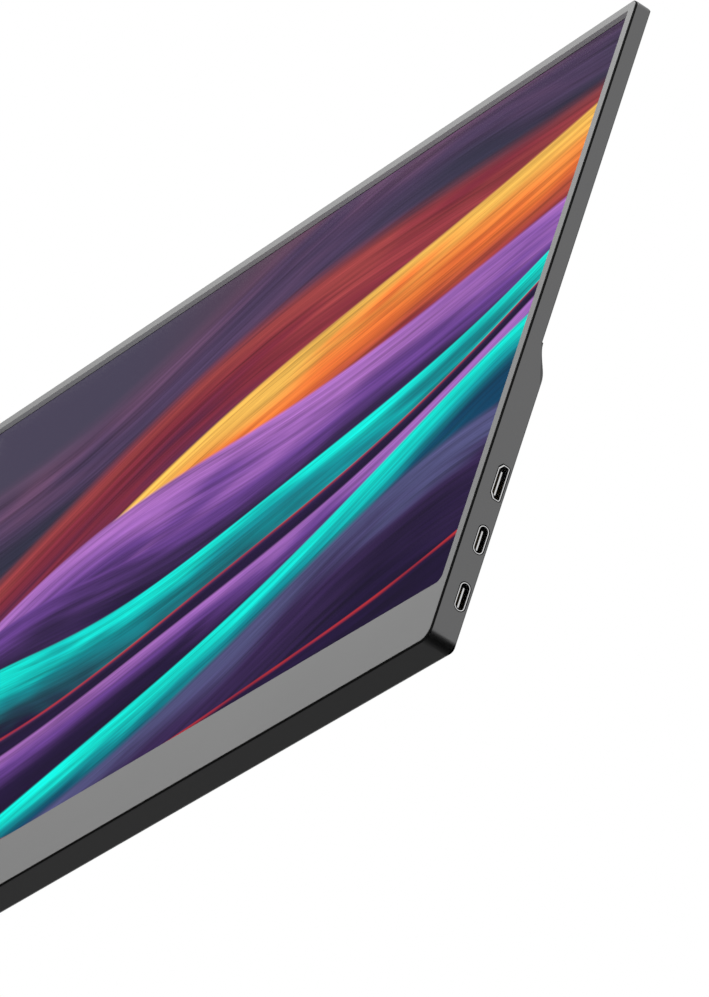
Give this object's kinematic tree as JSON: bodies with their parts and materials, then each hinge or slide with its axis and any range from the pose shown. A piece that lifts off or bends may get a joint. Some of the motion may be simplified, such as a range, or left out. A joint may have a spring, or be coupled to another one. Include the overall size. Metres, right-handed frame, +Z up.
{
  "type": "portable monitor",
  "caption": "Slim portable monitor with a stepped metal back, side sockets, a push button, a jog lever and a headphone jack.",
  "frame": {"origin": "middle of the bottom edge, halfway through the deepest part", "axes": "+X to the right seen from the screen side, +Y towards the back, +Z up along the height"},
  "size_m": [0.3544, 0.0088, 0.2178],
  "materials": {
    "bezel_metal": "satin slate grey paint",
    "black_tape": "matt black tape",
    "black_gasket": "matt black rubber",
    "screen_glass": "lit screen under smooth glass",
    "flex_film": "amber polyimide film",
    "clear_film": "clear ribbed film",
    "white_film": "matt white film",
    "clear_acrylic": "clear acrylic sheet",
    "white_board": "white circuit board",
    "lamp_yellow": "yellow lamp resin",
    "frame_plastic": "moulded black plastic",
    "pan_steel": "plated sheet steel",
    "green_board": "green circuit board",
    "black_foam": "soft black foam",
    "housing_metal": "satin dark grey metal paint",
    "brass_insert": "turned brass",
    "chip_plastic": "black moulding resin",
    "coil_ferrite": "grey ferrite",
    "screw_steel": "zinc plated steel",
    "socket_steel": "bright nickel plated steel",
    "tongue_plastic": "grey contact plastic",
    "button_metal": "satin dark grey metal paint",
    "light_pipe": "smoked clear resin",
    "jog_plastic": "satin grey plastic",
    "ribbon_white": "white ribbon cable",
    "cone_paper": "grey coated paper",
    "lead_red": "red silicone wire"
  },
  "bodies": {
    "monitor": {"front_bezel": "bezel_metal", "bezel_tape": "black_tape", "seam_gasket": "black_gasket", "glass_cell": "screen_glass", "glass_flex": "flex_film", "prism_film": "clear_film", "diffuser_film": "white_film", "light_guide": "clear_acrylic", "reflector_sheet": "white_film", "light_bar": "white_board", "light_bar_lamps": "lamp_yellow", "panel_frame": "frame_plastic", "panel_pan": "pan_steel", "panel_board": "green_board", "panel_cable": "flex_film", "foam_pads": "black_foam", "rear_housing": "housing_metal", "mount_inserts": "brass_insert", "main_board": "green_board", "board_chips": "chip_plastic", "board_coils": "coil_ferrite", "shield_can": "pan_steel", "board_screws": "screw_steel", "hdmi_shell": "socket_steel", "hdmi_tongue": "tongue_plastic", "usb_upper_shell": "socket_steel", "usb_upper_tongue": "tongue_plastic", "usb_lower_shell": "socket_steel", "usb_lower_tongue": "tongue_plastic", "jack_body": "chip_plastic", "jack_ring": "socket_steel", "power_switch": "chip_plastic", "status_light": "light_pipe", "status_lamp": "lamp_yellow", "jog_switch": "chip_plastic", "control_board": "green_board", "control_ribbon": "ribbon_white", "left_speaker": "chip_plastic", "right_speaker": "chip_plastic", "speaker_cones": "cone_paper", "speaker_meshes": "black_gasket", "speaker_leads": "lead_red"},
    "power_key": {"power_button": "button_metal"},
    "jog_slider": {"jog_carrier": "chip_plastic"},
    "jog_stick": {"jog_lever": "jog_plastic"}
  },
  "joints": [
    {"name": "power_press", "type": "slide", "parent": "monitor", "child": "power_key", "axis": [1, 0, 0], "range_m": [0, 0.0005], "stiffness_N_per_m": 500},
    {"name": "jog_press", "type": "slide", "parent": "monitor", "child": "jog_slider", "axis": [1, 0, 0], "range_m": [0, 0.0004], "stiffness_N_per_m": 500},
    {"name": "jog_tilt", "type": "hinge", "parent": "jog_slider", "child": "jog_stick", "pos_m": [-0.1702, 0.00085, 0.0312], "axis": [0, 1, 0], "range_deg": [-8, 8], "stiffness_Nm_per_rad": 0.02}
  ]
}
